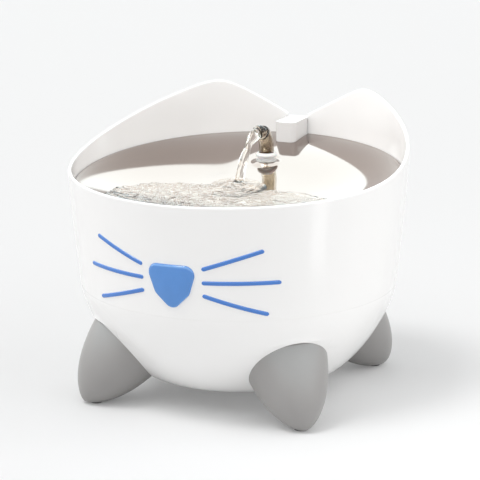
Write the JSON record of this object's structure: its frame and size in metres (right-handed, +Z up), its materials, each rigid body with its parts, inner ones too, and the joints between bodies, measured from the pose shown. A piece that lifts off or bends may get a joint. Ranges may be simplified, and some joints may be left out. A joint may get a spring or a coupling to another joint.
{
  "type": "pet water fountain",
  "caption": "Cat-faced bowl fountain on capped feet: eared reservoir, tilted steel dish, bent spout, submerged pump with filter, and a rear power module.",
  "frame": {"origin": "on the table, under the middle of the bowl's collar", "axes": "+Z is up and the bowl's face, with the nose, looks along -Y"},
  "size_m": [0.2206, 0.2203, 0.1862],
  "materials": {
    "shell": "glossy white",
    "foot_cap": "satin warm grey",
    "foot_pad": "matt",
    "foot_screw": "machined",
    "inlay": "glossy blue",
    "dish": "polished stainless steel",
    "clear_tube": "clear, glossy",
    "spout_ring": "clear, glossy",
    "grommet": "soft silicone, satin",
    "module": "glossy white",
    "seal": "matt",
    "jack": "satin black",
    "board": "green solder mask",
    "lead": "satin black jacket",
    "gland": "matt",
    "pump_case": "satin dark grey",
    "coil": "copper winding",
    "impeller": "satin ivory",
    "shaft": "ground",
    "bush": "matt",
    "dial": "satin",
    "housing": "satin white",
    "cup": "satin",
    "filter_frame": "satin",
    "filter_pad": "carbon felt",
    "foam": "open foam"
  },
  "bodies": {
    "reservoir": {"reservoir_shell": "shell", "foot_front_left": "foot_cap", "foot_front_right": "foot_cap", "foot_back_left": "foot_cap", "foot_back_right": "foot_cap", "foot_pads": "foot_pad", "foot_screws": "foot_screw", "nose": "inlay", "whiskers_left": "inlay", "whiskers_right": "inlay", "riser_tube": "clear_tube", "module_housing": "module", "module_cap": "module", "module_seal": "seal", "inlet_jack": "jack", "circuit_board": "board", "pump_lead": "lead", "lead_gland": "gland", "pump_body": "pump_case", "pump_end_cap": "pump_case", "stator_coil": "coil", "impeller_shaft": "shaft", "shaft_bushes": "bush", "volute_cover": "pump_case", "intake_grille": "pump_case", "pump_housing": "housing", "housing_lid": "housing", "suction_cups": "cup", "prefilter_foam": "foam"},
    "dish": {"steel_dish": "dish", "spout_ring": "spout_ring", "spout_grommet": "grommet"},
    "spout": {"spout": "clear_tube"},
    "impeller": {"impeller": "impeller"},
    "filter_cartridge": {"filter_frame": "filter_frame", "filter_pad": "filter_pad"},
    "flow_dial": {"flow_dial": "dial"}
  },
  "joints": [
    {"name": "dish_lift", "type": "slide", "parent": "reservoir", "child": "dish", "axis": [0, 0, 1], "range_m": [0, 0.06]},
    {"name": "spout_swivel", "type": "hinge", "parent": "dish", "child": "spout", "pos_m": [0, 0.049, 0.1461], "axis": [0, 0, 1], "range_deg": [-20, 20]},
    {"name": "impeller_spin", "type": "hinge", "parent": "reservoir", "child": "impeller", "pos_m": [0, 0.043, 0.0419], "axis": [0, 1, 0], "continuous": true},
    {"name": "filter_lift", "type": "slide", "parent": "reservoir", "child": "filter_cartridge", "axis": [0, 0, 1], "range_m": [0, 0.046]},
    {"name": "flow_dial_turn", "type": "hinge", "parent": "reservoir", "child": "flow_dial", "pos_m": [0, 0.05745, 0.0419], "axis": [0, 1, 0], "range_deg": [0, 60]}
  ]
}
